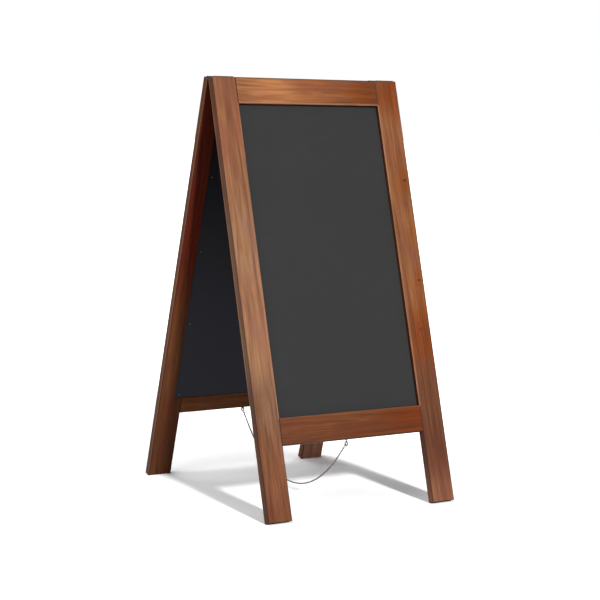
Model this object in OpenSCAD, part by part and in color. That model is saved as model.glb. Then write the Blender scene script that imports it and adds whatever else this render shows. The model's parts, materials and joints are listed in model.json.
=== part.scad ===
// Folding sandwich board: two timber frames, each with a chalkboard in a rebate,
// joined along the top by two butt hinges and held below by a slack stay cord.
// Millimetres, +Z up. The origin is on the floor, midway between the four feet.
// -Y is the front of the sign, and left and right are as seen from the front.
//
// Each panel is drawn once in its own frame, with the hinge axis at the origin:
// X across the sign, +Y outwards from the hinge plane, Z up along the stiles.
// front() and back() lean it out and set it on its feet.

/* [Panels] */
// Width of each panel
panel_w = 508; // [350:1:800]
// Length of the stiles, from the top end to the foot
panel_h = 1016; // [1005:1:1035]
// Width of the stiles and rails
member_w = 62; // [59:1:65]
// Thickness of the frame timber
frame_t = 18; // [17:0.5:22]
// Height of the window between the rails
window_h = 725; // [715:1:735]
// Bevel that eases the edges of the timber
ease = 1.2; // [0.5:0.1:2]

/* [Chalkboards] */
// Thickness of the chalkboard
board_t = 6; // [4:0.5:6]
// Depth of the rebate that the chalkboard sits in
rebate_d = 7; // [6.5:0.5:8]
// Width of the rebate
rebate_w = 21; // [15:0.5:24]
// Play between the edge of the chalkboard and the rebate
board_play = 0.5; // [0.2:0.1:1.5]
// Panel pins along each long edge of the chalkboard
pins_per_side = 5; // [3:1:8]

/* [Stance] */
// Lean of each panel from upright when the sign stands open
lean = 16.1; // [15.6:0.1:17]

/* [Hinges] */
// Length of a hinge along the top
hinge_len = 50; // [40:1:60]
// Distance from the side of the sign to the end of a hinge
hinge_inset = 7; // [4:1:40]
// Thickness of a hinge leaf
leaf_t = 1.5; // [1:0.1:1.6]
// Radius of the hinge knuckles
knuckle_r = 3; // [2.6:0.1:3.5]
// Radius of the hinge pin
hinge_pin_r = 1.25; // [1:0.05:1.4]

/* [Stay cord] */
// Diameter of the cord
cord_d = 3.3; // [2.5:0.1:3.5]
// Sideways place of the middle of the cord
cord_x = -13; // [-40:1:40]
// Sideways step between the two screw eyes, so that they pass when the sign folds
eye_step = 10; // [8:1:14]
// Angle below level at which the cord leaves its ferrules
cord_dip = 49; // [47:1:52]

/* [Hidden] */
$fn = 48;
fit = 0.05;                       // play of a shank or dowel in its hole
hole_spare = 0.5;                 // depth of a hole beyond the end of its shank
cut = 1;                          // how far a cutting shape stands out of the wood
hinge_gap = 0.5;                  // hinge plane to the inner face of a panel
hinge_rise = knuckle_r + 0.1;     // top end of a panel to the hinge axis

// Panel, in its own frame
inner_y = hinge_gap;
outer_y = hinge_gap + frame_t;
mid_y = (inner_y + outer_y) / 2;
top_z = -hinge_rise;
foot_z = top_z - panel_h;
window_top = top_z - member_w;
window_foot = window_top - window_h;
window_w = panel_w - 2 * member_w;
rail_foot = window_foot - member_w;
hinge_z = -foot_z * cos(lean) - (inner_y + ease) * sin(lean);  // axis above the floor

// Chalkboard
board_w = window_w + 2 * (rebate_w - board_play);
board_h = window_h + 2 * (rebate_w - board_play);
board_y = inner_y + rebate_d - board_t;
pin_edge = (rebate_w - board_play) / 2;      // pin centre to the edge of the board
pin_x = board_w / 2 - pin_edge;
pin_top = window_top + rebate_w - board_play - pin_edge;
pin_pitch = (board_h - 2 * pin_edge) / (pins_per_side - 1);
board_pin_r = 0.8;
board_pin_head_r = 2.2;
board_pin_head_t = 0.9;
board_pin_len = board_t + 8;
side_pins = [for (side = [-1, 1], i = [0 : pins_per_side - 1]) [side * pin_x, pin_top - i * pin_pitch]];
end_pins = [[0, pin_top], [0, pin_top - (pins_per_side - 1) * pin_pitch]];

// Dowels in the four corner joints
dowel_r = 3.95;
dowel_len = 39;
dowel_hole = dowel_len / 2 + hole_spare;     // depth on each side of the joint
dowel_places = [20, 36];          // from the outer edge of the rail, clear of the chalkboard
dowel_z = concat([for (d = dowel_places) top_z - d], [for (d = dowel_places) rail_foot + d]);

// Hinges
hinge_left = -panel_w / 2 + hinge_inset;
knuckle_play = 0.2;
knuckle_clear = 0.25;             // knuckle to the notch in the other leaf
knuckles = 5;
knuckle_len = (hinge_len - (knuckles - 1) * knuckle_play) / knuckles;
pin_head_r = 1.9;
pin_head_t = 0.8;
leaf_start = 0.3;                 // hinge plane to the inner edge of a leaf
leaf_end = outer_y - 0.8;
screw_y = inner_y + 0.58 * frame_t;
screw_r = 1.5;
screw_head_r = 3;
screw_len = 14;
screw_point_r = 0.3;
screw_point_len = 2;
cross_len = 3;                    // cross recess in the head
cross_w = 0.7;
cross_depth = 0.9;
screw_x = [for (k = [0.16, 0.5, 0.84]) k * hinge_len];
screw_turns = [25, 113, 68];      // how far round each screw of a leaf was driven

// Screw eyes, and the cord's loops and ferrules
eye_wire_r = 1;
eye_ring_r = 3.2;
eye_drop = 4.4;                   // underside of the rail to the middle of the ring
eye_shank = 12;                   // length of thread in the rail
eye_z = rail_foot - eye_drop;
wire_z = eye_z - eye_ring_r;      // the wire that the cord's loop pulls on
cord_r = cord_d / 2;
loop_ring_r = 5;
loop_play = 0.1;
loop_shift = loop_ring_r - cord_r - eye_wire_r - loop_play;
ferrule_r = 2.8;
ferrule_start = 7;                // along the cord, from the eye's wire
ferrule_end = 13;
cord_swing = 90 - cord_dip + lean;           // angle between the ferrule and the stile
front_eye_x = cord_x - eye_step / 2;
back_eye_x = cord_x + eye_step / 2;

// The cord hangs between the ferrules. Its route from the lowest point to one
// side, as distance from the middle and height above the floor; the other side
// is the same.
half_route = [[30, 18.5], [60, 24], [90, 33.5], [120, 47], [150, 65], [175, 83], [200, 104.5]];
route_foot = [0, 16.5];
cord_gap = 0.2;                   // end of the cord to the face of the ferrule
cord_steps = 4;                   // rings between two points of the route
cord_sides = 8;

// ---- Placing ----

// Back panel: leans out towards +Y
module back() translate([0, 0, hinge_z]) rotate([lean, 0, 0]) children();

// Front panel: the same, mirrored
module front() mirror([0, 1, 0]) back() children();

// Draws a left-hand part on the right-hand side
module right_hand() mirror([1, 0, 0]) children();

// ---- Timber ----

// Rectangle with bevelled corners, its lower left corner at the origin
module bevelled(w, h) {
    e = ease;
    polygon([[e, 0], [w - e, 0], [w, e], [w, h - e], [w - e, h], [e, h], [0, h - e], [0, e]]);
}

// Holes for the board pins, from the floor of the rebate into the lip
module pin_holes(places) {
    for (p = places)
        translate([p.x, board_y, p.y]) rotate([-90, 0, 0])
            cylinder(r = board_pin_r + fit, h = board_pin_len + hole_spare);
}

// Holes for the dowels, centred on the joint line at x
module dowel_holes(x, places) {
    for (z = places)
        translate([x - dowel_hole, mid_y, z]) rotate([0, 90, 0])
            cylinder(r = dowel_r + fit, h = 2 * dowel_hole);
}

// Left-hand stile, with every edge eased
module stile() {
    left = -panel_w / 2;
    difference() {
        translate([left, inner_y, foot_z]) intersection() {
            linear_extrude(panel_h) bevelled(member_w, frame_t);
            translate([0, frame_t, 0]) rotate([90, 0, 0]) linear_extrude(frame_t)
                bevelled(member_w, panel_h);
            rotate([90, 0, 90]) linear_extrude(member_w) bevelled(frame_t, panel_h);
        }
        translate([-window_w / 2 - rebate_w, inner_y - cut, window_foot - rebate_w])
            cube([rebate_w + cut, rebate_d + cut, window_h + 2 * rebate_w]);
        pin_holes([for (p = side_pins) if (p.x < 0) p]);
        dowel_holes(-window_w / 2, dowel_z);
        for (x = screw_x)
            translate([hinge_left + x, screw_y, top_z - screw_len - hole_spare])
                cylinder(r = screw_r + fit, h = screw_len + hole_spare + cut);
    }
}

// Rail between the stiles, its lower edge at foot; the rebate is on its window side
module rail(foot, rebate_foot, holes, pins) {
    difference() {
        translate([-window_w / 2, inner_y, foot]) rotate([90, 0, 90]) linear_extrude(window_w)
            bevelled(frame_t, member_w);
        translate([-window_w / 2 - cut, inner_y - cut, rebate_foot])
            cube([window_w + 2 * cut, rebate_d + cut, rebate_w]);
        pin_holes(pins);
        for (x = [-window_w / 2, window_w / 2]) dowel_holes(x, holes);
    }
}

module top_rail() rail(window_top, window_top, [dowel_z[0], dowel_z[1]], [end_pins[0]]);

module bottom_rail(eye_x) {
    difference() {
        rail(rail_foot, window_foot - rebate_w, [dowel_z[2], dowel_z[3]], [end_pins[1]]);
        translate([eye_x, mid_y, rail_foot - cut])
            cylinder(r = eye_wire_r + fit, h = cut + eye_shank + hole_spare);
    }
}

module dowels() {
    for (side = [-1, 1], z = dowel_z)
        translate([side * window_w / 2 - dowel_len / 2, mid_y, z]) rotate([0, 90, 0])
            cylinder(r = dowel_r, h = dowel_len);
}

// ---- Chalkboard ----

module chalkboard() {
    difference() {
        translate([-board_w / 2, board_y, window_foot - rebate_w + board_play])
            cube([board_w, board_t, board_h]);
        translate([0, -cut, 0]) pin_holes(concat(side_pins, end_pins));
    }
}

// Headed pins, driven from the inner side through the board into the frame
module board_pins() {
    for (p = concat(side_pins, end_pins))
        translate([p.x, board_y, p.y]) rotate([-90, 0, 0]) {
            cylinder(r = board_pin_r, h = board_pin_len);
            translate([0, 0, -board_pin_head_t]) cylinder(r = board_pin_head_r, h = board_pin_head_t);
        }
}

// ---- Hinges ----

// Solid barrel along the hinge axis, one piece for each knuckle in the list
module barrel(list, r, grow = 0) {
    for (i = list)
        translate([hinge_left + i * (knuckle_len + knuckle_play) - grow, 0, 0]) rotate([0, 90, 0])
            cylinder(r = r, h = knuckle_len + 2 * grow);
}

// Left-hand leaf with its own knuckles, cut clear of the other leaf's
module hinge_leaf(own, other) {
    difference() {
        union() {
            translate([hinge_left, leaf_start, top_z]) cube([hinge_len, leaf_end - leaf_start, leaf_t]);
            barrel(own, knuckle_r);
        }
        barrel(other, knuckle_r + knuckle_clear, knuckle_play);
        translate([hinge_left - cut, 0, 0]) rotate([0, 90, 0])
            cylinder(r = hinge_pin_r + fit, h = hinge_len + 2 * cut);
        for (x = screw_x) translate([hinge_left + x, screw_y, top_z]) {
            translate([0, 0, -cut]) cylinder(r = screw_r + fit, h = leaf_t + 2 * cut);
            cylinder(r1 = screw_r + fit, r2 = screw_head_r + fit, h = leaf_t);
        }
    }
}

module front_leaf() hinge_leaf([0, 2, 4], [1, 3]);
module back_leaf() hinge_leaf([1, 3], [0, 2, 4]);

// Pin with a flat head just clear of each end of the barrel
module hinge_pin() {
    translate([hinge_left, 0, hinge_z]) rotate([0, 90, 0]) {
        translate([0, 0, -2 * fit]) cylinder(r = hinge_pin_r, h = hinge_len + 4 * fit);
        for (x = [-pin_head_t - fit, hinge_len + fit])
            translate([0, 0, x]) cylinder(r = pin_head_r, h = pin_head_t);
    }
}

// Countersunk wood screw with a cross recess, its flat head level with the leaf
module wood_screw() {
    difference() {
        union() {
            translate([0, 0, -leaf_t]) cylinder(r1 = screw_r, r2 = screw_head_r, h = leaf_t);
            translate([0, 0, screw_point_len - leaf_t - screw_len])
                cylinder(r = screw_r, h = screw_len - screw_point_len);
            translate([0, 0, -leaf_t - screw_len])
                cylinder(r1 = screw_point_r, r2 = screw_r, h = screw_point_len);
        }
        for (turn = [0, 90]) rotate([0, 0, turn]) translate([-cross_len / 2, -cross_w / 2, -cross_depth])
            cube([cross_len, cross_w, cross_depth + cut]);
    }
}

module hinge_screws() {
    for (side = [-1, 1], k = [0 : len(screw_x) - 1])
        translate([side * (hinge_left + screw_x[k]), screw_y, top_z + leaf_t])
            rotate([0, 0, screw_turns[k]]) wood_screw();
}

// ---- Stay cord ----

module screw_eye(x) {
    translate([x, mid_y, eye_z]) {
        rotate([90, 0, 0]) rotate_extrude() translate([eye_ring_r, 0]) circle(r = eye_wire_r);
        translate([0, 0, eye_ring_r]) cylinder(r = eye_wire_r, h = eye_drop - eye_ring_r + eye_shank);
    }
}

// Places its children at the eye's wire, with -Z the way the cord leaves
module at_wire(x) translate([x, mid_y, wire_z]) rotate([-cord_swing, 0, 0]) children();

// End of the cord, turned back on itself through the eye
module cord_loop(x, grow = 0) {
    at_wire(x) translate([0, 0, -loop_shift]) rotate([0, 90, 0]) rotate_extrude()
        translate([loop_ring_r, 0]) circle(r = cord_r + grow);
}

// Crimped sleeve that holds the loop closed
module ferrule(x) {
    difference() {
        at_wire(x) translate([0, 0, -ferrule_end])
            cylinder(r = ferrule_r, h = ferrule_end - ferrule_start);
        cord_loop(x, fit);
    }
}

// Where the cord meets a ferrule: distance from the hinge plane, and height
cord_reach = ferrule_end + cord_gap;
cord_end_y = mid_y - cord_reach * sin(cord_swing);
cord_end_z = wire_z - cord_reach * cos(cord_swing);
cord_end = [
    cord_end_y * cos(lean) - cord_end_z * sin(lean),
    cord_end_y * sin(lean) + cord_end_z * cos(lean) + hinge_z
];

// Whole route from the back ferrule to the front one, in space
half_points = concat(half_route, [cord_end]);
last = len(half_points) - 1;
side_points = concat(
    [for (i = [0 : last]) half_points[last - i]],
    [route_foot],
    [for (p = half_points) [-p.x, p.y]]
);
route = [for (p = side_points) [
    cord_x + (back_eye_x - cord_x) * p.x / cord_end.x, p.x, p.y
]];

// Smooth curve through points a to d, at t from b to c
function between(a, b, c, d, t) = 0.5 * (
    2 * b + (c - a) * t + (2 * a - 5 * b + 4 * c - d) * t * t
    + (3 * b - a - 3 * c + d) * t * t * t
);
function route_at(i) = i < 0 ? 2 * route[0] - route[1]
    : i >= len(route) ? 2 * route[len(route) - 1] - route[len(route) - 2] : route[i];
cord_path = concat(
    [for (i = [0 : len(route) - 2], k = [0 : cord_steps - 1])
        between(route_at(i - 1), route_at(i), route_at(i + 1), route_at(i + 2), k / cord_steps)],
    [route[len(route) - 1]]
);

function unit(v) = v / norm(v);
function heading(path, i) = unit(path[min(i + 1, len(path) - 1)] - path[max(i - 1, 0)]);

// Round tube along a path that never runs along X
module tube(path, r, sides) {
    rings = len(path);
    points = [for (i = [0 : rings - 1])
        let (along = heading(path, i), up = unit(cross(along, [1, 0, 0])), across = cross(up, along))
        for (k = [0 : sides - 1]) let (a = 360 * k / sides) path[i] + r * (cos(a) * up + sin(a) * across)];
    walls = [for (i = [0 : rings - 2], k = [0 : sides - 1])
        let (next = (k + 1) % sides)
        [i * sides + k, (i + 1) * sides + k, (i + 1) * sides + next, i * sides + next]];
    first_cap = [for (k = [0 : sides - 1]) k];
    last_cap = [for (k = [0 : sides - 1]) rings * sides - 1 - k];
    polyhedron(points, concat(walls, [first_cap, last_cap]));
}

// ---- Nodes ----

timber = "#8f5636";
timber_light = "#a8683f";
slate = "#404040";
steel = "#b9bcc0";
dark_steel = "#4b4642";
pale_wood = "#d9b98a";
cord_grey = "#9a9ea2";

module front_left_stile() color(timber) front() stile();
module front_right_stile() color(timber) front() right_hand() stile();
module front_top_rail() color(timber_light) front() top_rail();
module front_bottom_rail() color(timber) front() bottom_rail(front_eye_x);
module front_chalkboard() color(slate) front() chalkboard();
module front_board_pins() color(dark_steel) front() board_pins();
module front_dowels() color(pale_wood) front() dowels();

module back_left_stile() color(timber) back() stile();
module back_right_stile() color(timber) back() right_hand() stile();
module back_top_rail() color(timber_light) back() top_rail();
module back_bottom_rail() color(timber) back() bottom_rail(back_eye_x);
module back_chalkboard() color(slate) back() chalkboard();
module back_board_pins() color(dark_steel) back() board_pins();
module back_dowels() color(pale_wood) back() dowels();

module left_hinge_front_leaf() color(dark_steel) front() front_leaf();
module left_hinge_back_leaf() color(dark_steel) back() back_leaf();
module left_hinge_pin() color(dark_steel) hinge_pin();
module right_hinge_front_leaf() color(dark_steel) front() right_hand() front_leaf();
module right_hinge_back_leaf() color(dark_steel) back() right_hand() back_leaf();
module right_hinge_pin() color(dark_steel) right_hand() hinge_pin();
module front_hinge_screws() color(steel) front() hinge_screws();
module back_hinge_screws() color(steel) back() hinge_screws();

module front_screw_eye() color(steel) front() screw_eye(front_eye_x);
module back_screw_eye() color(steel) back() screw_eye(back_eye_x);
module stay_cord() color(cord_grey) tube(cord_path, cord_r, cord_sides);
module front_cord_loop() color(cord_grey) front() cord_loop(front_eye_x);
module back_cord_loop() color(cord_grey) back() cord_loop(back_eye_x);
module front_ferrule() color(steel) front() ferrule(front_eye_x);
module back_ferrule() color(steel) back() ferrule(back_eye_x);

front_left_stile();
front_right_stile();
front_top_rail();
front_bottom_rail();
front_chalkboard();
front_board_pins();
front_dowels();
back_left_stile();
back_right_stile();
back_top_rail();
back_bottom_rail();
back_chalkboard();
back_board_pins();
back_dowels();
left_hinge_front_leaf();
left_hinge_back_leaf();
left_hinge_pin();
right_hinge_front_leaf();
right_hinge_back_leaf();
right_hinge_pin();
front_hinge_screws();
back_hinge_screws();
front_screw_eye();
back_screw_eye();
stay_cord();
front_cord_loop();
back_cord_loop();
front_ferrule();
back_ferrule();
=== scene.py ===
"""Looks of the sandwich board: materials, the stay cord, floor, light and camera.

Metres, in the CAD's frame: +Z up, -Y the front of the sign, origin on the floor
midway between the feet. Each panel also has a frame of its own, with the hinge
axis at its origin: X across, Y outwards from the hinge plane, Z up the stiles.
"""
import json
import math

import bpy
from mathutils import Matrix, Vector


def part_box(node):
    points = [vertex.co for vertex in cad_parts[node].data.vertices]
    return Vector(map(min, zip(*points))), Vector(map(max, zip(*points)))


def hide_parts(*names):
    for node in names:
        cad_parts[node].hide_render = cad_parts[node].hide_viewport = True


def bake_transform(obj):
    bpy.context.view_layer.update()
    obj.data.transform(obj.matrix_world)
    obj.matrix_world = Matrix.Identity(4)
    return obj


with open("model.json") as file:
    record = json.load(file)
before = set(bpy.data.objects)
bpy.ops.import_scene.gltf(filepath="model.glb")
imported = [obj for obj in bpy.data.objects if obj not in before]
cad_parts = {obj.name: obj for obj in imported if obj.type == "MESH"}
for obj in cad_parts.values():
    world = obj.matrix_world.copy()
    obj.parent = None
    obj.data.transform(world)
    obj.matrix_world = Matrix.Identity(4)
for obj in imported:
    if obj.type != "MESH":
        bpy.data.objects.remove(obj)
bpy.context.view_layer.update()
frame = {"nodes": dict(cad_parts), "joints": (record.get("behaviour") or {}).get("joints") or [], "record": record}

# ---- Sizes from the frame ----

fold = next(joint for joint in frame["joints"] if joint["name"] == "fold")
mounts = {mount["name"]: mount for mount in frame["record"]["mounts"]}
outwards = Vector(mounts["back_board_face"]["axis"])
HINGE = Vector(fold["pos_m"])
LEAN = math.atan2(outwards.z, outwards.y)
PANEL_FACING = {"front": -1, "back": 1}


def own_frame(panel):
    """Matrix from the row frame to a panel's own frame."""
    facing = Matrix.Diagonal((1, PANEL_FACING[panel], 1, 1))
    return Matrix.Rotation(-LEAN, 4, "X") @ facing @ Matrix.Translation(-HINGE)


def own_box(node):
    """Lowest and highest corner of a node in its panel's own frame."""
    turn = own_frame(node.split("_")[0])
    points = [turn @ vertex.co for vertex in frame["nodes"][node].data.vertices]
    low = Vector([min(point[i] for point in points) for i in range(3)])
    high = Vector([max(point[i] for point in points) for i in range(3)])
    return low, high


# ---- Camera ----

CAMERA_PLACE = Vector((-2.140, -3.447, 0.909))
CAMERA_HEADING = math.radians(31.88)  # from +Y towards +X
CAMERA_TILT = math.radians(-6.36)  # above level
CAMERA_ROLL = math.radians(1.01)
CAMERA_LENS = 102.5  # mm
CAMERA_SENSOR = 36  # mm
CAMERA_SEES = 200  # metres, past the far edge of the floor


def make_camera():
    camera = bpy.data.objects.new("camera", bpy.data.cameras.new("camera"))
    bpy.context.scene.collection.objects.link(camera)
    camera.data.sensor_width = CAMERA_SENSOR
    camera.data.lens = CAMERA_LENS
    camera.data.clip_end = CAMERA_SEES
    camera.location = CAMERA_PLACE
    aim = (
        Matrix.Rotation(-CAMERA_HEADING, 4, "Z")
        @ Matrix.Rotation(math.pi / 2 + CAMERA_TILT, 4, "X")
        @ Matrix.Rotation(CAMERA_ROLL, 4, "Z")
    )
    camera.rotation_mode = "QUATERNION"
    camera.rotation_quaternion = aim.to_quaternion()
    bpy.context.scene.camera = camera


# ---- Materials ----


class Paint:
    """A material, with short calls for the nodes that it is made of."""

    def __init__(self, name):
        self.material = bpy.data.materials.new(name)
        self.material.use_nodes = True
        self.tree = self.material.node_tree
        self.shader = self.tree.nodes["Principled BSDF"]

    def give(self, socket, value):
        if isinstance(value, bpy.types.NodeSocket):
            self.tree.links.new(value, socket)
        else:
            socket.default_value = value

    def node(self, kind, *values, **settings):
        """A new node; values fill its inputs in order, and settings are its options."""
        made = self.tree.nodes.new("ShaderNode" + kind)
        for name, setting in settings.items():
            setattr(made, name, setting)
        for socket, value in zip(made.inputs, values):
            if value is not None:
                self.give(socket, value)
        return made

    def math(self, operation, *values):
        return self.node("Math", *values, operation=operation).outputs[0]

    def total(self, *values):
        result = values[0]
        for value in values[1:]:
            result = self.math("ADD", result, value)
        return result

    def scaled(self, value, factor):
        return self.math("MULTIPLY", value, factor)

    def rise(self, value, low, high, start=0.0, end=1.0):
        """Smooth step: start where value is low, end where it is high."""
        made = self.node("MapRange", value, interpolation_type="SMOOTHSTEP")
        made.inputs["From Min"].default_value = low
        made.inputs["From Max"].default_value = high
        made.inputs["To Min"].default_value = start
        made.inputs["To Max"].default_value = end
        return made.outputs[0]

    def noise(self, place, scale, detail=2.0, roughness=0.5):
        made = self.node("TexNoise")
        self.give(made.inputs["Vector"], place)
        made.inputs["Scale"].default_value = scale
        made.inputs["Detail"].default_value = detail
        made.inputs["Roughness"].default_value = roughness
        return made.outputs["Fac"]

    def mix(self, factor, first, second, blend="MIX"):
        made = self.node("Mix", data_type="RGBA", blend_type=blend)
        colours = [socket for socket in made.inputs if socket.type == "RGBA"]
        self.give(made.inputs[0], factor)
        for socket, value in zip(colours, (first, second)):
            self.give(socket, (*value, 1) if isinstance(value, tuple) else value)
        return next(socket for socket in made.outputs if socket.type == "RGBA")

    def stretched(self, place, factors, offset=(0, 0, 0)):
        """Place times factors, plus offset."""
        return self.node(
            "VectorMath", place, factors, offset, operation="MULTIPLY_ADD"
        ).outputs[0]

    def parts(self, vector):
        return self.node("SeparateXYZ", vector).outputs

    def joined(self, x, y, z):
        return self.node("CombineXYZ", x, y, z).outputs[0]

    def own_place(self, panel, centre=Vector()):
        """Position in a panel's own frame, from centre."""
        turn = own_frame(panel)
        made = self.node("Mapping", self.node("TexCoord").outputs["Object"])
        made.inputs["Location"].default_value = turn.translation - centre
        made.inputs["Rotation"].default_value = (-LEAN, 0, 0)
        made.inputs["Scale"].default_value = (1, PANEL_FACING[panel], 1)
        return made.outputs[0]

    def own_normal(self, panel):
        """Which way the surface faces, in a panel's own frame."""
        made = self.node("Mapping", self.node("TexCoord").outputs["Normal"])
        made.inputs["Rotation"].default_value = (-LEAN, 0, 0)
        made.inputs["Scale"].default_value = (1, PANEL_FACING[panel], 1)
        return made.outputs[0]

    def bump(self, height, distance):
        made = self.node("Bump")
        made.inputs["Strength"].default_value = 1.0
        made.inputs["Distance"].default_value = distance
        self.give(made.inputs["Height"], height)
        self.give(self.shader.inputs["Normal"], made.outputs[0])

    def finish(self, colour, roughness, constants):
        """Sets colour and roughness, and the shader's constant values by name."""
        self.give(self.shader.inputs["Base Color"], colour)
        self.give(self.shader.inputs["Roughness"], roughness)
        for name, value in constants.items():
            self.shader.inputs[name].default_value = value
        return self.material


def dress(node, material):
    """Gives a CAD node its material."""
    for slot in frame["nodes"][node].material_slots:
        slot.material = material


# Stained pine. The stain colours are those of the bare surface, without any light on it; the reveal colour below
# is painted shade, and the worn edge colour is partly painted highlight.
STAIN_LIGHT = (0.178, 0.062, 0.0225)
STAIN_DARK = (0.058, 0.0150, 0.0045)
STAIN_RED = (0.108, 0.0290, 0.0130)
STAIN_ORANGE = (0.172, 0.0385, 0.0015)
KNOT = (0.040, 0.011, 0.003)
WORN_AND_HIGHLIT = (0.205, 0.100, 0.056)
REVEAL_SHADE = (0.028, 0.007, 0.003)
EDGE_DARK = (0.019, 0.0065, 0.0035)

# These multiply the stain as painted shade and light: on the inner side, and on the outer edges' sides
INNER_TOP_SHADE = (0.48, 0.13, 0.001)
INNER_FOOT_SHADE = (0.53, 0.49, 0.35)
SIDE_SHADE = (0.63, 0.58, 0.53)
SIDE_LIT = (1.9, 2.0, 2.0)

RING_PITCH = 0.0042
RING_DRIFT = 0.028  # how far the tree's middle wanders along a member
RING_TAPER = 0.012
RING_WOBBLE = 0.006
KNOT_REACH = 4.5  # how far round a knot the rings bend, in sizes of the knot
KNOT_BULGE = 2.2
GRAIN_RELIEF = 0.00018
SEED_STEP = 7.31  # moves every noise, so that no two members are alike

SQUARE_ON = (0.85, 0.97)  # how squarely a surface faces one way to belong to that side
JOINT_FADE = 0.003  # where a stile's window edge ends at a rail
EDGE_FADE = 0.001  # between the window half and the outer half of a member
WORN_AND_HIGHLIT_EDGE = (0.0015, 0.0055)  # from the edge: full wear and painted highlight, and none
DARK_EDGE = (0.0012, 0.0032)
LOW_RAIL_WEAR_AND_HIGHLIGHT = 0.3  # hands rub the top and sides more than the bottom rail, which also gets less painted highlight

INNER_ROUGHNESS = 0.9  # the inner side was stained once and hardly varnished
VARNISH = {"Specular IOR Level": 0.14, "Coat Weight": 0.01, "Coat Roughness": 0.4}


class Member:
    """One piece of timber as its paint sees it: across, depth and along, from its middle."""

    def __init__(self, paint, node):
        self.paint, self.node = paint, node
        panel = node.split("_")[0]
        low, high = own_box(node)
        order = (0, 1, 2) if node.endswith("stile") else (2, 1, 0)
        place = paint.parts(paint.own_place(panel, (low + high) / 2))
        normal = paint.parts(paint.own_normal(panel))
        size = [(high - low)[i] for i in order]
        self.across, self.depth, self.along = [place[i] for i in order]
        self.facing = [paint.math("ABSOLUTE", normal[i]) for i in order]
        self.inner_side = paint.rise(paint.scaled(normal[1], -1), 0.5, 0.9)
        self.half_width, self.half_depth, self.half_length = [value / 2 for value in size]
        self.grain = paint.joined(self.across, self.depth, self.along)
        # Towards the window, and for a stile only between the rails
        self.to_window = paint.scaled(self.across, -1 if "right" in node or "top" in node else 1)
        self.beside_window = 1.0
        if node.endswith("stile"):
            middle = (low + high).z / 2
            foot = own_box(panel + "_bottom_rail")[1].z - middle
            top = own_box(panel + "_top_rail")[0].z - middle
            self.beside_window = paint.math(
                "MULTIPLY",
                paint.rise(self.along, foot - JOINT_FADE, foot),
                paint.rise(self.along, top, top + JOINT_FADE, 1, 0),
            )

    def noise(self, across, along, offset, detail=3, roughness=0.5):
        """Noise with its own scale across and along the grain."""
        place = self.paint.stretched(self.grain, (across, across, along), offset)
        return self.paint.noise(place, 1.0, detail, roughness)

    def away_from(self, across, along, stretch=0.6):
        """Distance from a place, with lengths along the grain scaled by stretch."""
        paint = self.paint
        sideways = paint.total(self.across, -across)
        lengthways = paint.scaled(paint.total(self.along, -along), stretch)
        flat = paint.joined(sideways, lengthways, 0.0)
        return paint.node("VectorMath", flat, operation="LENGTH").outputs["Value"]


def strongest(paint, values):
    """Highest of several values, or 0 if there are none."""
    result = values[0] if values else 0.0
    for value in values[1:]:
        result = paint.math("MAXIMUM", result, value)
    return result


def late_wood(paint, wood, shift, pith, knots):
    """How dark the growth rings are. They flow round each knot."""
    drift = paint.noise(paint.stretched(wood.grain, (2, 2, 2.2), (shift, 0, 0)), 1.0)
    side = paint.total(wood.across, -pith[0], paint.scaled(drift, RING_DRIFT))
    flat = paint.joined(side, paint.total(wood.depth, -pith[1]), 0.0)
    radius = paint.node("VectorMath", flat, operation="LENGTH").outputs["Value"]
    wobble = wood.noise(30, 3, (0, shift, 0))
    radius = paint.total(
        radius, paint.scaled(wood.along, RING_TAPER), paint.scaled(wobble, RING_WOBBLE)
    )
    for across, along, size in knots:
        away = wood.away_from(across, along)
        bulge = paint.rise(away, 0, KNOT_REACH * size, KNOT_BULGE * size, 0)
        radius = paint.total(radius, bulge)
    turns = paint.scaled(radius, 1 / RING_PITCH)
    through = paint.math("FRACT", turns)
    number = paint.math("FLOOR", turns)
    dark = paint.math(
        "MULTIPLY", paint.rise(through, 0.25, 0.9), paint.rise(through, 0.9, 1.0, 1, 0)
    )
    each_ring = paint.node("TexWhiteNoise", None, number, noise_dimensions="1D").outputs["Value"]
    return paint.math("MULTIPLY", dark, paint.rise(each_ring, 0, 1, 0.45, 1.0))


class Grain:
    """Rings, fibres, pores and dashes of one member, and how dark they make it together."""

    def __init__(self, paint, wood, shift, pith, knots):
        self.rings = late_wood(paint, wood, shift, pith, knots)
        self.fibres = wood.noise(900, 16, (shift, 0, 0), 3, 0.6)
        self.pores = paint.rise(wood.noise(520, 9, (0, shift, 3), 1), 0.60, 0.72)
        self.dashes = wood.noise(210, 13, (3, shift, 0), 2)
        streaks = wood.noise(70, 1.6, (0, 0, shift))
        self.darkness = paint.total(
            paint.scaled(self.rings, 0.30),
            paint.rise(self.fibres, 0.3, 0.7, 0, 0.18),
            paint.scaled(self.pores, 0.14),
            paint.rise(self.dashes, 0.36, 0.66, 0, 0.26),
            paint.rise(streaks, 0.35, 0.68, 0, 0.24),
        )

    def relief(self, paint):
        return paint.total(
            paint.scaled(self.fibres, 0.5),
            paint.scaled(self.rings, 0.6),
            paint.scaled(self.pores, -0.8),
        )


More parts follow.
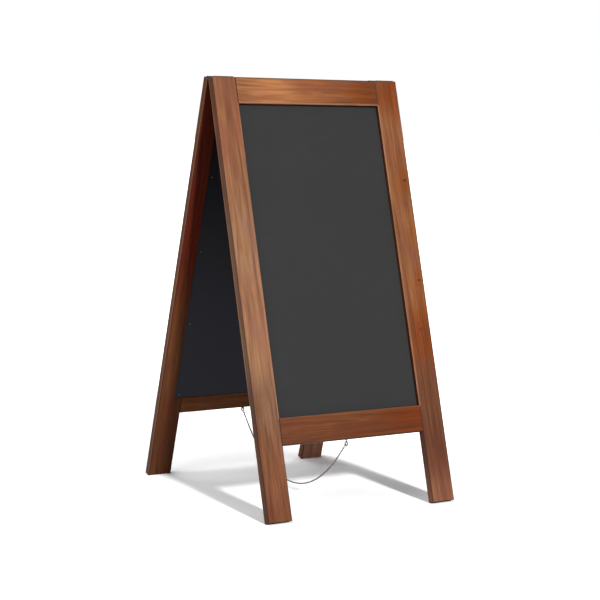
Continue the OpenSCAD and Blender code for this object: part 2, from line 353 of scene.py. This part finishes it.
def stained(paint, wood, grain, shift, knots, resin):
    """Stain over the grain, with patches where it took unevenly, resin, and the knots."""
    colour = paint.mix(grain.darkness, STAIN_LIGHT, STAIN_DARK)
    patches = paint.rise(wood.noise(24, 8, (shift, shift, 0), 3, 0.6), 0.42, 0.66, 0, 0.6)
    colour = paint.mix(patches, colour, STAIN_RED)
    amber = [paint.rise(wood.noise(16, 9, (0, 4, shift), 3, 0.6), 0.52, 0.70, 0, 0.5)]
    for across, along, size in resin:
        uneven = paint.rise(grain.dashes, 0.3, 0.7, -0.4 * size, 0.4 * size)
        ragged = paint.total(wood.away_from(across, along), uneven)
        amber.append(paint.rise(ragged, 0.3 * size, size, 0.95, 0))
    cores = []
    for across, along, size in knots:
        away = wood.away_from(across, along)
        amber.append(paint.rise(away, 1.2 * size, 5.5 * size, 0.75, 0))
        away = wood.away_from(across, along, stretch=1.8)
        cores.append(paint.rise(away, 0.5 * size, 1.5 * size, 0.85, 0))
    orange = paint.mix(grain.darkness, STAIN_ORANGE, STAIN_DARK)
    colour = paint.mix(strongest(paint, amber), colour, orange)
    return paint.mix(strongest(paint, cores), colour, KNOT)


def tone_along(paint, wood, tones):
    """Colour that passes through each of the tones, evenly spaced along the member."""
    step = 2 * wood.half_length / (len(tones) - 1)
    channels = []
    for values in zip(*tones):
        result = values[0]
        for k, (a, b) in enumerate(zip(values, values[1:])):
            start = k * step - wood.half_length
            result = paint.total(result, paint.rise(wood.along, start, start + step, 0, b - a))
        channels.append(result)
    return paint.joined(*channels)


def each_side(paint, wood, colour, inner_foot_shading):
    """Stain as it lies on end grain, with painted shade in the window's reveal and on the inner side, and painted
    shade and light on the outer sides.
    """
    colour = paint.mix(paint.rise(wood.facing[2], 0.75, 0.95, 0, 0.85), colour, EDGE_DARK)
    sideways = paint.rise(wood.facing[0], *SQUARE_ON)
    # Painted shade in the window's reveal, on the sides of the members round the board
    reveal = paint.math("MULTIPLY", sideways, paint.rise(wood.to_window, 0, EDGE_FADE, 0, 0.8))
    colour = paint.mix(paint.math("MULTIPLY", reveal, wood.beside_window), colour, REVEAL_SHADE)

    # Painted shade on the inner side, darkest towards the top, where the other panel shades it; the foot's own
    # choice lightens or darkens it lower down
    height = 1.0 if "top" in wood.node else 0.0
    if wood.node.endswith("stile"):
        height = paint.rise(wood.along, -0.35 * wood.half_length, 0.25 * wood.half_length)
    inner = paint.mix(height, inner_foot_shading, INNER_TOP_SHADE)
    inner = paint.mix(wood.inner_side, (1, 1, 1), inner)
    colour = paint.mix(1.0, colour, inner, "MULTIPLY")

    # Outer sides get painted shade towards the face and painted light along their inner edge
    outer = paint.math("MULTIPLY", sideways, paint.rise(wood.to_window, -EDGE_FADE, 0, 1, 0))
    pale = paint.rise(wood.depth, -0.9 * wood.half_depth, -0.45 * wood.half_depth, 1, 0)
    side = paint.mix(1.0, colour, paint.mix(pale, SIDE_SHADE, SIDE_LIT), "MULTIPLY")
    return paint.mix(outer, colour, side)


def edge_wear_and_highlight(paint, wood, shift):
    """Where the eased edges round the window are lighter, part worn thin and part painted highlight, and where the
    outer edges are darker.
    """
    eased = paint.rise(strongest(paint, wood.facing), 0.80, 0.97, 1, 0)
    face = paint.rise(wood.facing[1], *SQUARE_ON)
    from_edge = paint.total(wood.half_width, paint.scaled(paint.math("ABSOLUTE", wood.across), -1))
    window_edge = paint.math(
        "MULTIPLY", paint.rise(wood.to_window, -EDGE_FADE, EDGE_FADE), wood.beside_window
    )
    outer_edge = paint.total(1.0, paint.scaled(window_edge, -1))

    uneven = paint.rise(wood.noise(40, 14, (shift, 5, 0)), 0.35, 0.65, 0.3, 0.85)
    # Lighter along the window edges: part wear, part painted highlight
    fringe = paint.math("MULTIPLY", face, paint.rise(from_edge, *WORN_AND_HIGHLIT_EDGE, 0.8, 0))
    worn_and_highlit = paint.math("MULTIPLY", window_edge, paint.math("MAXIMUM", eased, fringe))
    worn_and_highlit = paint.math("MULTIPLY", worn_and_highlit, uneven)
    if wood.node.endswith("bottom_rail"):
        worn_and_highlit = paint.scaled(worn_and_highlit, LOW_RAIL_WEAR_AND_HIGHLIGHT)

    # Darker along the outer edges
    fringe = paint.math("MULTIPLY", face, paint.rise(from_edge, *DARK_EDGE, 0.9, 0))
    dark = paint.math("MULTIPLY", outer_edge, paint.math("MAXIMUM", eased, fringe))
    return worn_and_highlit, paint.scaled(dark, 0.85)


def timber(name, node, seed, tones, pith, knots=(), resin=(), inner_foot_shading=INNER_FOOT_SHADE):
    """Stained and varnished pine for one member.

    tones multiply the stain, from the lower or left end to the other end. pith is
    where the middle of the tree lies from the member's middle, across and in depth.
    knots and resin patches are (across, along, size) from the member's middle.
    The inner foot choice multiplies the stain low down on the inner side, as painted light or shade.
    """
    paint = Paint(name)
    wood = Member(paint, node)
    shift = seed * SEED_STEP
    grain = Grain(paint, wood, shift, pith, knots)
    colour = stained(paint, wood, grain, shift, knots, resin)
    colour = paint.mix(1.0, colour, tone_along(paint, wood, tones), "MULTIPLY")
    colour = each_side(paint, wood, colour, inner_foot_shading)
    worn_and_highlit, dark = edge_wear_and_highlight(paint, wood, shift)
    # Window edges lighter, part wear and part painted highlight; outer edges darker
    colour = paint.mix(worn_and_highlit, colour, WORN_AND_HIGHLIT)
    colour = paint.mix(dark, colour, EDGE_DARK)
    roughness = paint.total(
        paint.rise(grain.fibres, 0.3, 0.7, 0.40, 0.50), paint.scaled(worn_and_highlit, 0.12)
    )
    inner_roughness = paint.scaled(wood.inner_side, INNER_ROUGHNESS)
    roughness = paint.math("MAXIMUM", roughness, inner_roughness)
    paint.bump(grain.relief(paint), GRAIN_RELIEF)
    return paint.finish(colour, roughness, VARNISH)


# Chalkboard paint, as it faces out and inside
BOARD_GREY = (0.0165, 0.0165, 0.0167)
BOARD_DUST = (0.0257, 0.0257, 0.0260)
# Painted shade high on the inner side, and painted light low on it
BOARD_INNER_SHADE = (0.0005, 0.0005, 0.0005)
BOARD_INNER_LIT = (0.033, 0.0315, 0.040)
WIPE_TILT = 0.45  # radians, of the wiping marks
BOARD_RELIEF = 0.00006


def chalk_paint(name, panel):
    """Matte chalkboard paint, wiped many times, with a trace of dust left in it."""
    paint = Paint(name)
    place = paint.own_place(panel)
    clouds = paint.noise(paint.stretched(place, (5, 5, 4)), 1.0, 4, 0.6)
    swirl = paint.node("VectorRotate", place, None, (0, 1, 0), WIPE_TILT)
    wiped = paint.noise(paint.stretched(swirl.outputs[0], (5, 1, 60)), 1.0, 4, 0.6)
    specks = paint.noise(place, 1400, 2)
    dust = paint.total(
        paint.rise(clouds, 0.35, 0.75, 0, 0.22),
        paint.rise(wiped, 0.45, 0.8, 0, 0.20),
        paint.rise(specks, 0.62, 0.8, 0, 0.25),
    )
    colour = paint.mix(dust, BOARD_GREY, BOARD_DUST)
    # The inner side gets painted shade, darkest towards the top, and painted light lower down
    low, high = own_box(panel + "_chalkboard")
    height = paint.rise(paint.parts(place)[2], 0.75 * low.z + 0.25 * high.z, high.z)
    inner_side = paint.rise(paint.scaled(paint.parts(paint.own_normal(panel))[1], -1), 0.5, 0.9)
    inside = paint.mix(height, BOARD_INNER_LIT, BOARD_INNER_SHADE)
    colour = paint.mix(inner_side, colour, paint.mix(0.8, colour, inside))
    roughness = paint.rise(clouds, 0.3, 0.7, 0.66, 0.78)
    paint.bump(paint.total(specks, paint.noise(place, 320, 3)), BOARD_RELIEF)
    roughness = paint.math("MAXIMUM", roughness, inner_side)
    return paint.finish(colour, roughness, {"Specular IOR Level": 0.1})


METAL_SPECK = (0.12, 0.10, 0.085)
# Each metal: its colour, where it has gone dull, and how rough it is when bright and dull
ZINC = ((0.80, 0.80, 0.81), (0.52, 0.52, 0.53), 0.22, 0.38)
ALUMINIUM = ((0.78, 0.78, 0.79), (0.50, 0.50, 0.51), 0.30, 0.45)
DARK_PLATE = ((0.15, 0.125, 0.11), (0.06, 0.045, 0.038), 0.38, 0.6)


def plate(name, metal, brushed=(60, 900, 900)):
    """Plated metal, with drawing marks, dull bloom and small dark specks."""
    tint, dull, smooth, rough = metal
    paint = Paint(name)
    place = paint.node("TexCoord").outputs["Object"]
    bloom = paint.noise(place, 120, 4, 0.6)
    marks = paint.noise(paint.stretched(place, brushed), 1.0, 3)
    specks = paint.rise(paint.noise(place, 900, 2), 0.66, 0.74)
    colour = paint.mix(paint.rise(bloom, 0.35, 0.7, 0, 0.6), tint, dull)
    colour = paint.mix(paint.scaled(specks, 0.5), colour, METAL_SPECK)
    roughness = paint.total(
        paint.rise(bloom, 0.3, 0.7, smooth, rough), paint.scaled(marks, 0.12)
    )
    paint.bump(marks, 0.00004)
    return paint.finish(colour, roughness, {"Metallic": 1.0})


BEECH_LIGHT = (0.62, 0.44, 0.26)
BEECH_DARK = (0.46, 0.29, 0.15)
BEECH_FLECK = (0.30, 0.17, 0.08)


def bare_beech(name):
    """Pale dowel, its grain and flutes along X."""
    paint = Paint(name)
    place = paint.node("TexCoord").outputs["Object"]
    fibres = paint.noise(paint.stretched(place, (30, 1400, 1400)), 1.0, 3)
    flecks = paint.rise(paint.noise(paint.stretched(place, (200, 900, 900)), 1.0), 0.6, 0.7)
    colour = paint.mix(paint.rise(fibres, 0.3, 0.7), BEECH_LIGHT, BEECH_DARK)
    colour = paint.mix(paint.scaled(flecks, 0.5), colour, BEECH_FLECK)
    paint.bump(fibres, 0.0002)
    roughness = paint.rise(fibres, 0.3, 0.7, 0.55, 0.72)
    return paint.finish(colour, roughness, {"Specular IOR Level": 0.4})


CORD_GREY = (0.135, 0.138, 0.142)
CORD_SHADE = (0.090, 0.092, 0.096)


def braid(name, place, strands, pitch):
    """Tight braid: strands wind both ways round and pass over each other.

    place gives, from the paint, how far round the cord (0 to 1) and along it.
    """
    paint = Paint(name)
    around, along = place(paint)
    round_turns = paint.scaled(around, strands)
    rising = paint.math("ADD", round_turns, paint.scaled(along, strands / pitch))
    falling = paint.math("SUBTRACT", round_turns, paint.scaled(along, strands / pitch))
    over = paint.math(
        "PINGPONG", paint.total(paint.math("FLOOR", rising), paint.math("FLOOR", falling)), 1.0
    )
    across_strand = [
        paint.math("SINE", paint.scaled(paint.math("FRACT", turns), math.pi))
        for turns in (rising, falling)
    ]
    height = paint.node(
        "Mix", over, None, across_strand[0], across_strand[1], data_type="FLOAT"
    )
    height = height.outputs[0]
    fuzz = paint.noise(paint.node("TexCoord").outputs["Object"], 2500, 3)
    lit = paint.math("MULTIPLY", paint.rise(height, 0, 0.8), paint.rise(fuzz, 0.3, 0.7, 0.75, 1))
    colour = paint.mix(lit, CORD_SHADE, CORD_GREY)
    paint.bump(paint.total(height, paint.scaled(fuzz, 0.25)), 0.00025)
    roughness = paint.rise(fuzz, 0.3, 0.7, 0.5, 0.66)
    return paint.finish(colour, roughness, {"Sheen Weight": 0.15, "Sheen Roughness": 0.4})


# ---- Stay cord ----

CORD_DIAMETER = 0.0033
CORD_HALF_ROUTE = [
    (0.030, 0.0185),
    (0.060, 0.024),
    (0.090, 0.0335),
    (0.120, 0.047),
    (0.150, 0.065),
    (0.175, 0.083),
    (0.200, 0.1045),
]
CORD_FOOT = (0.0, 0.0165)
CORD_STEPS = 14  # rings between two points of the route
CORD_SIDES = 16
CORD_STRANDS = 8
CORD_PITCH = 0.012  # length in which a strand goes once round


def cord_end(panel):
    """Middle of the cord's end face at one panel's ferrule."""
    face = Vector((0, PANEL_FACING[panel], 1)).normalized()
    points = [vertex.co for vertex in frame["nodes"]["stay_cord"].data.vertices]
    furthest = max(point.dot(face) for point in points)
    ring = {
        tuple(round(value, 6) for value in point)
        for point in points
        if point.y * PANEL_FACING[panel] > 0 and point.dot(face) > furthest - 0.004
    }
    return sum((Vector(point) for point in ring), Vector()) / len(ring)


def cord_path():
    """Close points along the cord, from the back ferrule to the front one."""
    back, front = cord_end("back"), cord_end("front")
    heights = [
        *((y, z) for y, z in reversed(CORD_HALF_ROUTE)),
        CORD_FOOT,
        *((-y, z) for y, z in CORD_HALF_ROUTE),
    ]
    slope = (back.x - front.x) / (back.y - front.y)
    middle = [Vector((front.x + slope * (y - front.y), y, z)) for y, z in heights]
    knots = [back, *middle, front]
    knots = [2 * knots[0] - knots[1], *knots, 2 * knots[-1] - knots[-2]]
    path = []
    for a, b, c, d in zip(knots, knots[1:], knots[2:], knots[3:]):
        for step in range(CORD_STEPS):
            t = step / CORD_STEPS
            path.append(
                0.5
                * (
                    2 * b
                    + (c - a) * t
                    + (2 * a - 5 * b + 4 * c - d) * t**2
                    + (3 * b - a - 3 * c + d) * t**3
                )
            )
    return [*path, front]


def ring_round(path, i):
    """Points of a ring round the path's point i, square to the path."""
    ahead, behind = path[min(i + 1, len(path) - 1)], path[max(i - 1, 0)]
    heading = (ahead - behind).normalized()
    up = heading.cross(Vector((1, 0, 0))).normalized()
    across = up.cross(heading)
    angles = [math.tau * k / CORD_SIDES for k in range(CORD_SIDES)]
    spokes = [math.cos(angle) * up + math.sin(angle) * across for angle in angles]
    return [path[i] + CORD_DIAMETER / 2 * spoke for spoke in spokes]


def cord_mesh(path):
    """Closed tube along the path. Its UVs say how far round and along the cord."""
    points = [point for i in range(len(path)) for point in ring_round(path, i)]
    faces = []
    for i in range(len(path) - 1):
        for k in range(CORD_SIDES):
            here, there = i * CORD_SIDES, (i + 1) * CORD_SIDES
            after = (k + 1) % CORD_SIDES
            faces.append((here + k, here + after, there + after, there + k))
    faces.append(tuple(reversed(range(CORD_SIDES))))
    faces.append(tuple(len(points) - CORD_SIDES + k for k in range(CORD_SIDES)))
    mesh = bpy.data.meshes.new("cord")
    mesh.from_pydata(points, [], faces)

    steps = [(b - a).length for a, b in zip(path, path[1:])]
    places = [sum(steps[:i]) for i in range(len(path))]
    layout = mesh.uv_layers.new(name="along_cord")
    for polygon in mesh.polygons:
        columns = [mesh.loops[j].vertex_index % CORD_SIDES for j in polygon.loop_indices]
        wraps = max(columns) - min(columns) > CORD_SIDES / 2
        for j, column in zip(polygon.loop_indices, columns):
            turn = column + (CORD_SIDES if wraps and column == 0 else 0)
            row = mesh.loops[j].vertex_index // CORD_SIDES
            layout.data[j].uv = (turn / CORD_SIDES, places[row])
    mesh.shade_smooth()
    return mesh


def cord_place(paint):
    parts = paint.parts(paint.node("TexCoord").outputs["UV"])
    return parts[0], parts[1]


def make_cord():
    path = cord_path()
    length = sum((b - a).length for a, b in zip(path, path[1:]))
    mesh = cord_mesh(path)
    cord = bpy.data.objects.new("cord", mesh)
    bpy.context.scene.collection.objects.link(cord)
    mesh.materials.append(braid("cord_braid", cord_place, CORD_STRANDS, CORD_PITCH))
    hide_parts("stay_cord")
    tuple(path[-1])
    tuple(path[0])
    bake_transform(cord)
    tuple(path[0])


def loop_braid(panel):
    """The cord's braid, wound round the axis of its loop, which lies along X."""
    low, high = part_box(panel + "_cord_loop")
    centre = (low + high) / 2
    ring = (high.y - low.y - CORD_DIAMETER) / 2

    def place(paint):
        from_centre = paint.stretched(
            paint.node("TexCoord").outputs["Object"], (1, 1, 1), tuple(-centre)
        )
        x, y, z = paint.parts(from_centre)
        reach = paint.node(
            "VectorMath", paint.joined(0.0, y, z), operation="LENGTH"
        ).outputs["Value"]
        around = paint.math("ARCTAN2", x, paint.math("SUBTRACT", reach, ring))
        along = paint.scaled(paint.math("ARCTAN2", z, y), ring)
        return paint.scaled(around, 1 / math.tau), along

    return braid(panel + "_loop_braid", place, CORD_STRANDS, CORD_PITCH)


make_camera()
make_cord()

# ---- Timber ----

TIMBERS = {
    "front_left_stile": dict(
        seed=1,
        tones=[
            (0.73, 0.69, 0.74), (0.89, 0.96, 1.11), (0.84, 1.18, 1.74), (1.40, 2.08, 2.72),
            (1.23, 1.66, 2.20), (1.21, 1.82, 2.74), (1.05, 1.31, 1.60), (1.18, 1.35, 1.51),
            (0.97, 1.09, 1.25),
        ],
        pith=(0.012, -0.05),
    ),
    "front_right_stile": dict(
        seed=2,
        tones=[
            (1.00, 1.16, 1.57), (0.52, 0.47, 0.55), (0.62, 0.65, 0.71), (0.79, 0.69, 0.49),
            (1.03, 1.12, 1.16), (1.04, 1.19, 1.15), (1.00, 1.13, 1.06), (1.03, 1.11, 1.11),
            (0.80, 0.69, 0.47),
        ],
        pith=(-0.015, -0.045),
        knots=[(0.017, 0.262, 0.006), (0.018, 0.018, 0.005), (0.001, -0.100, 0.003)],
        resin=[(0.012, 0.470, 0.045), (0.010, -0.110, 0.050), (0.018, 0.250, 0.026)],
    ),
    "front_top_rail": dict(
        seed=3,
        tones=[
            (1.28, 1.50, 1.56), (1.79, 2.15, 2.20), (1.24, 1.28, 1.20), (0.95, 0.97, 0.92),
            (0.70, 0.70, 0.65),
        ],
        pith=(0.0, -0.06),
        resin=[(-0.004, 0.165, 0.045)],
    ),
    "front_bottom_rail": dict(
        seed=4,
        tones=[
            (0.65, 0.59, 0.50), (0.67, 0.61, 0.48), (0.66, 0.59, 0.43), (0.62, 0.52, 0.33),
            (0.65, 0.50, 0.25),
        ],
        pith=(0.01, -0.05),
        resin=[(0.008, 0.150, 0.065)],
    ),
    "back_left_stile": dict(
        seed=5,
        tones=[(0.80, 0.80, 0.80), (1.05, 1.10, 1.15), (1.10, 1.15, 1.15), (0.95, 0.95, 0.95)],
        pith=(-0.01, 0.05),
        knots=[(0.008, 0.080, 0.004)],
    ),
    "back_right_stile": dict(
        seed=6,
        tones=[(0.95, 0.95, 0.95), (1.00, 1.05, 1.05), (1.05, 1.10, 1.15), (0.90, 0.90, 0.90)],
        pith=(0.014, 0.045),
        knots=[(-0.012, -0.21, 0.005)],
        # Painted light low on the inner side, where the front panel shades this foot
        inner_foot_shading=(2.05, 2.65, 4.4),
    ),
    "back_top_rail": dict(
        seed=7,
        tones=[(1.00, 1.00, 1.00), (1.20, 1.25, 1.30), (1.10, 1.15, 1.15), (0.90, 0.90, 0.90)],
        pith=(0.0, 0.055),
        knots=[(0.010, 0.110, 0.003)],
    ),
    "back_bottom_rail": dict(
        seed=8,
        tones=[(1.25, 1.20, 1.20), (1.10, 1.05, 1.05), (1.20, 1.15, 1.15)],
        pith=(-0.01, 0.05),
        # Painted shade on the inner side
        inner_foot_shading=(0.66, 0.70, 0.60),
    ),
}

for node, choices in TIMBERS.items():
    dress(node, timber("timber_" + node, node, **choices))

# ---- Boards and hardware ----

for panel in PANEL_FACING:
    dress(panel + "_chalkboard", chalk_paint("chalkboard_" + panel, panel))
    dress(panel + "_dowels", bare_beech("dowels_" + panel))
    dress(panel + "_board_pins", plate("board_pins_" + panel, DARK_PLATE, (900, 900, 900)))
    dress(panel + "_hinge_screws", plate("screws_" + panel, ZINC, (900, 900, 900)))
    dress(panel + "_screw_eye", plate("eye_" + panel, ZINC, (300, 300, 300)))
    dress(panel + "_ferrule", plate("ferrule_" + panel, ALUMINIUM, (80, 500, 500)))
    dress(panel + "_cord_loop", loop_braid(panel))
for side in ("left", "right"):
    for part in ("front_leaf", "back_leaf", "pin"):
        dress(f"{side}_hinge_{part}", plate(f"{side}_hinge_{part}", DARK_PLATE))

# ---- Floor and light ----

FLOOR_HALF = 40.0
FLOOR_WHITE = (0.97, 0.97, 0.97)
FLOOR_CLOUD = 0.985  # how much of that white its darkest parts keep
FLOOR_BOUNCE = 0.6  # how much light the floor throws back up at the sign
BOUNCE_GLOW = 0.22
FLOOR_GLOW = 0.6  # evens out the open floor, as a lit sweep does
SHELTER_REACH = 1.0  # how far round the sign the floor glows less
SHELTERED, OPEN = 0.60, 0.95  # share of open sky above the floor: no glow, and full glow
SKY_SEEN = 1.0
SKY_LIGHT = 0.07

# Strength, width, heading from +Y towards +X, and height above level, in degrees
LAMPS = {
    "key": (5.1, 5, 4.0, 26.5),  # hard, low, from the front
    "fill": (1.9, 50, 74, 42),  # soft, from the front left
    "back": (0.9, 50, 180, 40),
}


def seen_or_lighting(tree, seen, lighting):
    """One shader for the camera, and another for all other light."""
    choice = tree.nodes.new("ShaderNodeMixShader")
    path = tree.nodes.new("ShaderNodeLightPath")
    tree.links.new(path.outputs["Is Camera Ray"], choice.inputs[0])
    tree.links.new(lighting, choice.inputs[1])
    tree.links.new(seen, choice.inputs[2])
    return choice.outputs[0]


def make_floor():
    corners = [(x, y, 0) for x, y in ((-1, -1), (1, -1), (1, 1), (-1, 1))]
    mesh = bpy.data.meshes.new("floor")
    mesh.from_pydata([Vector(corner) * FLOOR_HALF for corner in corners], [], [(0, 1, 2, 3)])
    floor = bpy.data.objects.new("floor", mesh)
    bpy.context.scene.collection.objects.link(floor)
    paint = Paint("floor")
    cloud = paint.noise(paint.node("TexCoord").outputs["Object"], 3.0, 2)
    colour = paint.mix(cloud, FLOOR_WHITE, tuple(FLOOR_CLOUD * value for value in FLOOR_WHITE))
    # The floor's glow fades where the sign shelters it, which paints shade round and under the sign
    open_above = paint.node("AmbientOcclusion", None, SHELTER_REACH, samples=8).outputs["AO"]
    glow = paint.rise(open_above, SHELTERED, OPEN, 0, FLOOR_GLOW)
    paint.give(paint.shader.inputs["Emission Strength"], glow)
    constants = {"Specular IOR Level": 0.0, "Emission Color": (1, 1, 1, 1)}
    mesh.materials.append(paint.finish(colour, 0.9, constants))
    bounce = paint.node("BsdfPrincipled", (FLOOR_BOUNCE, FLOOR_BOUNCE, FLOOR_BOUNCE, 1))
    bounce.inputs["Specular IOR Level"].default_value = 0.0
    bounce.inputs["Emission Color"].default_value = (1, 1, 1, 1)
    bounce.inputs["Emission Strength"].default_value = BOUNCE_GLOW
    surface = seen_or_lighting(paint.tree, paint.shader.outputs[0], bounce.outputs[0])
    paint.give(paint.tree.nodes["Material Output"].inputs["Surface"], surface)


def make_lamp(name, strength, softness, heading, height):
    """Sun lamp. Its light goes along heading, and down by height."""
    lamp = bpy.data.objects.new(name, bpy.data.lights.new(name, "SUN"))
    bpy.context.scene.collection.objects.link(lamp)
    lamp.data.energy = strength
    lamp.data.angle = softness
    flat = math.cos(height)
    going = Vector((math.sin(heading) * flat, math.cos(heading) * flat, -math.sin(height)))
    lamp.rotation_mode = "QUATERNION"
    lamp.rotation_quaternion = going.to_track_quat("-Z", "Y")


def make_light():
    world = bpy.data.worlds.new("studio")
    bpy.context.scene.world = world
    world.use_nodes = True
    tree = world.node_tree
    skies = [tree.nodes["Background"], tree.nodes.new("ShaderNodeBackground")]
    for sky, strength in zip(skies, (SKY_SEEN, SKY_LIGHT)):
        sky.inputs["Color"].default_value = (1, 1, 1, 1)
        sky.inputs["Strength"].default_value = strength
    surface = seen_or_lighting(tree, skies[0].outputs[0], skies[1].outputs[0])
    tree.links.new(surface, tree.nodes["World Output"].inputs["Surface"])

    for name, (strength, *angles) in LAMPS.items():
        make_lamp(name, strength, *[math.radians(angle) for angle in angles])
    bpy.context.scene.view_settings.view_transform = "Standard"


make_floor()
make_light()
